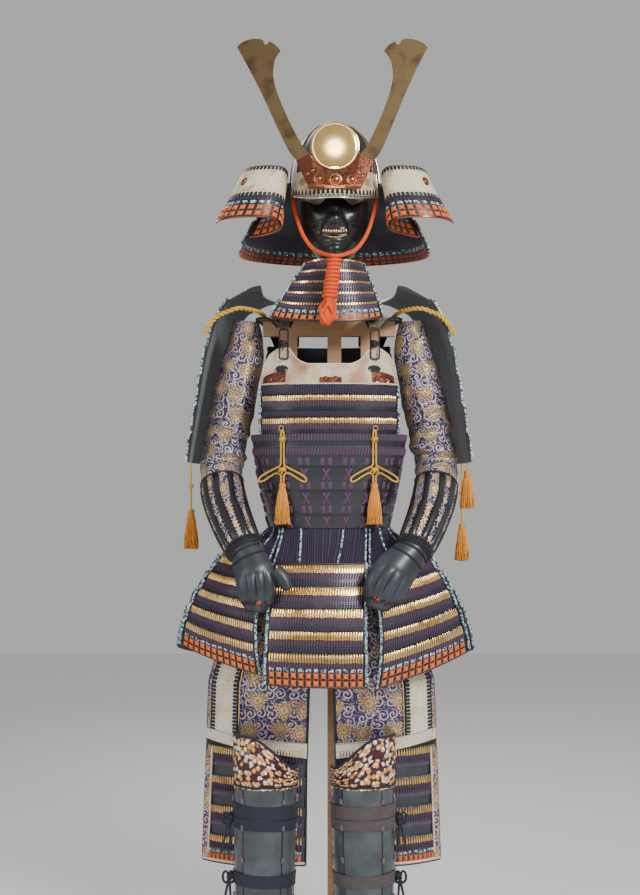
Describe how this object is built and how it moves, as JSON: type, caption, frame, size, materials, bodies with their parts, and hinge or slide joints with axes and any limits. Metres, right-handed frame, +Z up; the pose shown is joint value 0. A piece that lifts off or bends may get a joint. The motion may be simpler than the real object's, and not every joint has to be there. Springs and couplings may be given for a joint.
{
  "type": "samurai armour on a wooden armour stand with a head form",
  "caption": "Full suit of laced plate armour with horned helmet, mask, sleeves, skirt, thigh and shin guards, worn by a plain wooden stand",
  "frame": {"origin": "a point on the floor, on the underside of the stand's foot board, below the cuirass's middle", "axes": "+X to the viewer's right, +Y to the back, +Z up; the armour faces -Y"},
  "size_m": [0.6447, 0.4219, 1.9765],
  "materials": {
    "black_lacquer": "black lacquer over leather and iron plates, satin",
    "purple_lacing": "close rows of purple silk lacing over gold scale heads",
    "printed_leather": "cream leather with a stencilled brown and black pattern",
    "brocade": "figured silk brocade, slight sheen",
    "copper": "copper-brown engraved metal, satin",
    "brass": "dull brass, satin",
    "gilt": "gilded, polished",
    "orange_cord": "braided orange silk, matt",
    "gold_cord": "twisted yellow-gold silk, slight sheen",
    "dark_cord": "black braid and cloth, matt",
    "stand_wood": "plain planed boards, oiled",
    "head_form": "pale cloth pulled over a padded block, matt"
  },
  "bodies": {
    "root": {"helmet_bowl": "black_lacquer", "face_mask": "black_lacquer", "cuirass_front": "black_lacquer", "cuirass_back": "black_lacquer", "forearm_guard_left": "black_lacquer", "forearm_guard_right": "black_lacquer", "hand_guard_left": "black_lacquer", "hand_guard_right": "black_lacquer", "thumb_guard": "black_lacquer", "shin_guard_left": "black_lacquer", "shin_guard_right": "black_lacquer", "neck_guard": "purple_lacing", "throat_guard": "purple_lacing", "cuirass_chest": "purple_lacing", "cuirass_shoulder_back": "purple_lacing", "shoulder_guard_left": "purple_lacing", "shoulder_guard_right": "purple_lacing", "skirt_front": "purple_lacing", "skirt_front_left": "purple_lacing", "skirt_front_right": "purple_lacing", "skirt_side_left": "purple_lacing", "skirt_side_right": "purple_lacing", "skirt_back_left": "purple_lacing", "skirt_back_right": "purple_lacing", "helmet_visor": "printed_leather", "turnback_upper_left": "printed_leather", "turnback_upper_right": "printed_leather", "breast_plate": "printed_leather", "shoulder_strap_left": "brocade", "shoulder_strap_right": "brocade", "sleeve_left": "brocade", "sleeve_right": "brocade", "thigh_guard_left": "brocade", "thigh_guard_right": "brocade", "knee_flap_left": "brocade", "knee_flap_right": "brocade", "crest_base": "copper", "crest_horn_left": "brass", "crest_horn_right": "brass", "crown_ring": "gilt", "crest_disc": "gilt", "turnback_lower_left": "orange_cord", "turnback_lower_right": "orange_cord", "chin_cord": "orange_cord", "chin_knot": "orange_cord", "chest_cord_left": "gold_cord", "chest_cord_right": "gold_cord", "chest_tassel_left": "gold_cord", "chest_tassel_right": "gold_cord", "side_tassel_left": "gold_cord", "side_tassel_right_long": "gold_cord", "side_tassel_right_short": "gold_cord", "shoulder_cord_left": "gold_cord", "shoulder_cord_right": "gold_cord", "toggle_loop_left": "dark_cord", "toggle_loop_right": "dark_cord", "waist_belt": "dark_cord", "stand_frame": "stand_wood", "head_form": "head_form"}
  },
  "joints": []
}
